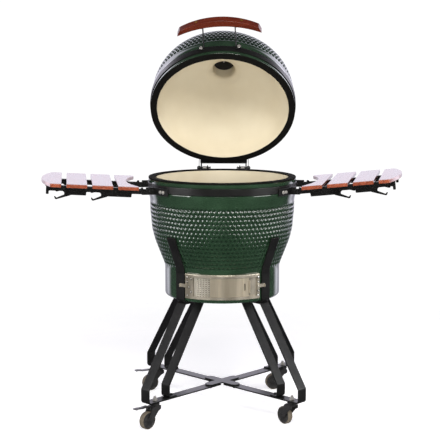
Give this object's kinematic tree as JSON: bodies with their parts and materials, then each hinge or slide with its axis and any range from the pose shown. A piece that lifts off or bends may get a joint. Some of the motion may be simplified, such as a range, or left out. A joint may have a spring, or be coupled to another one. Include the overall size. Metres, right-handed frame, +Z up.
{
  "type": "kamado charcoal grill",
  "caption": "Ceramic egg-shaped charcoal grill with a dimpled green glaze, lid open, on a caster stand of flat steel bars with folding slatted wooden side shelves.",
  "frame": {"origin": "on the floor, under the middle of the grill's overall box", "axes": "+Z up, -Y the front with the draft door, +X the user's right"},
  "size_m": [1.3023, 0.7193, 1.4268],
  "materials": {
    "green_glaze": "dark green gloss glaze over a dimpled body",
    "bare_ceramic": "matte unglazed cream refractory",
    "felt": "charcoal felt gasket",
    "black_steel": "satin black powder coat",
    "stainless": "horizontally brushed stainless",
    "cast_iron": "sand-cast, seasoned black",
    "handle_wood": "stained reddish hardwood, oiled",
    "shelf_wood": "stained reddish hardwood, glossy varnish",
    "caster_plastic": "black coated fork",
    "pedal_steel": "black coated pedal",
    "wheel_tread": "dark hub with a tan rubber tread"
  },
  "bodies": {
    "stand_and_bowl": {"bowl": "green_glaze", "bowl_gasket": "felt", "bowl_band": "black_steel", "fire_box": "bare_ceramic", "fire_ring": "bare_ceramic", "charcoal_grate": "cast_iron", "draft_frame": "stainless", "hinge_base": "black_steel", "cross_plate_lower": "black_steel", "cross_plate_upper": "black_steel", "socket_left_front": "black_steel", "socket_left_rear": "black_steel", "socket_right_front": "black_steel", "socket_right_rear": "black_steel", "cradle_arm_front_left": "black_steel", "leg_outer_front_left": "black_steel", "leg_inner_front_left": "black_steel", "cradle_arm_front_right": "black_steel", "leg_outer_front_right": "black_steel", "leg_inner_front_right": "black_steel", "cradle_arm_rear_right": "black_steel", "leg_outer_rear_right": "black_steel", "leg_inner_rear_right": "black_steel", "cradle_arm_rear_left": "black_steel", "leg_outer_rear_left": "black_steel", "leg_inner_rear_left": "black_steel"},
    "lid": {"lid_dome": "green_glaze", "lid_gasket": "felt", "lid_band": "black_steel", "hinge_arm": "black_steel", "vent_base": "cast_iron", "handle_post_left": "black_steel", "handle_post_right": "black_steel", "lid_handle": "handle_wood"},
    "vent_cap": {"vent_cap": "cast_iron"},
    "cooking_grate": {"cooking_grate": "cast_iron"},
    "draft_door": {"draft_door": "stainless"},
    "draft_screen": {"draft_screen": "stainless"},
    "shelf_left": {"shelf_arm_left_front": "black_steel", "shelf_arm_left_rear": "black_steel", "slat_left_1": "shelf_wood", "slat_left_2": "shelf_wood", "slat_left_3": "shelf_wood", "slat_left_4": "shelf_wood"},
    "shelf_right": {"shelf_arm_right_front": "black_steel", "shelf_arm_right_rear": "black_steel", "slat_right_1": "shelf_wood", "slat_right_2": "shelf_wood", "slat_right_3": "shelf_wood", "slat_right_4": "shelf_wood"},
    "caster_front_left": {"caster_fork_front_left": "caster_plastic"},
    "wheel_front_left": {"caster_wheel_front_left": "wheel_tread"},
    "caster_front_right": {"caster_fork_front_right": "caster_plastic"},
    "wheel_front_right": {"caster_wheel_front_right": "wheel_tread"},
    "caster_rear_right": {"caster_fork_rear_right": "caster_plastic"},
    "wheel_rear_right": {"caster_wheel_rear_right": "wheel_tread"},
    "caster_rear_left": {"caster_fork_rear_left": "caster_plastic"},
    "wheel_rear_left": {"caster_wheel_rear_left": "wheel_tread"},
    "brake_front_left": {"brake_pedal_front_left": "pedal_steel"},
    "brake_rear_left": {"brake_pedal_rear_left": "pedal_steel"}
  },
  "joints": [
    {"name": "lid_hinge", "type": "hinge", "parent": "stand_and_bowl", "child": "lid", "pos_m": [0.0111, 0.25266, 0.86], "axis": [0.9992, -0.0401, 0], "range_deg": [0, 51]},
    {"name": "vent_turn", "type": "hinge", "parent": "lid", "child": "vent_cap", "pos_m": [0.01258, 0.28946, 1.26781], "axis": [0.0312, 0.7771, 0.6286], "range_deg": [0, 30]},
    {"name": "grate_lift", "type": "slide", "parent": "stand_and_bowl", "child": "cooking_grate", "axis": [0, 0, 1], "range_m": [0, 0.1]},
    {"name": "draft_door_slide", "type": "hinge", "parent": "stand_and_bowl", "child": "draft_door", "pos_m": [-0.0007, -0.0411, 0.489], "axis": [0, 0, 1], "range_deg": [-16, 8]},
    {"name": "draft_screen_slide", "type": "hinge", "parent": "stand_and_bowl", "child": "draft_screen", "pos_m": [-0.0007, -0.0411, 0.489], "axis": [0, 0, 1], "range_deg": [-4, 21.5]},
    {"name": "shelf_left_fold", "type": "hinge", "parent": "stand_and_bowl", "child": "shelf_left", "pos_m": [-0.2761, -0.1691, 0.816], "axis": [0.1028, -0.9947, 0], "range_deg": [0, 90]},
    {"name": "shelf_right_fold", "type": "hinge", "parent": "stand_and_bowl", "child": "shelf_right", "pos_m": [0.2617, -0.1691, 0.816], "axis": [0.2019, 0.9794, 0], "range_deg": [0, 90]},
    {"name": "caster_front_left_swivel", "type": "hinge", "parent": "stand_and_bowl", "child": "caster_front_left", "pos_m": [-0.24112, -0.28152, 0.084], "axis": [0, 0, 1], "continuous": true},
    {"name": "wheel_front_left_spin", "type": "hinge", "parent": "caster_front_left", "child": "wheel_front_left", "pos_m": [-0.26682, -0.30813, 0.0314], "axis": [0.7193, -0.6947, 0], "continuous": true},
    {"name": "brake_front_left_press", "type": "hinge", "parent": "caster_front_left", "child": "brake_front_left", "pos_m": [-0.26196, -0.3031, 0.0702], "axis": [0.7193, -0.6947, 0], "range_deg": [0, 10]},
    {"name": "caster_front_right_swivel", "type": "hinge", "parent": "stand_and_bowl", "child": "caster_front_right", "pos_m": [0.23972, -0.28152, 0.084], "axis": [0, 0, 1], "continuous": true},
    {"name": "wheel_front_right_spin", "type": "hinge", "parent": "caster_front_right", "child": "wheel_front_right", "pos_m": [0.21745, -0.25197, 0.0314], "axis": [-0.7986, -0.6018, 0], "continuous": true},
    {"name": "caster_rear_right_swivel", "type": "hinge", "parent": "stand_and_bowl", "child": "caster_rear_right", "pos_m": [0.23972, 0.19932, 0.084], "axis": [0, 0, 1], "continuous": true},
    {"name": "wheel_rear_right_spin", "type": "hinge", "parent": "caster_rear_right", "child": "wheel_rear_right", "pos_m": [0.20353, 0.19162, 0.0314], "axis": [0.2079, -0.9781, 0], "continuous": true},
    {"name": "caster_rear_left_swivel", "type": "hinge", "parent": "stand_and_bowl", "child": "caster_rear_left", "pos_m": [-0.24112, 0.19932, 0.084], "axis": [0, 0, 1], "continuous": true},
    {"name": "wheel_rear_left_spin", "type": "hinge", "parent": "caster_rear_left", "child": "wheel_rear_left", "pos_m": [-0.27566, 0.18606, 0.0314], "axis": [0.3584, -0.9336, 0], "continuous": true},
    {"name": "brake_rear_left_press", "type": "hinge", "parent": "caster_rear_left", "child": "brake_rear_left", "pos_m": [-0.26912, 0.18857, 0.0702], "axis": [0.3584, -0.9336, 0], "range_deg": [0, 10]}
  ]
}
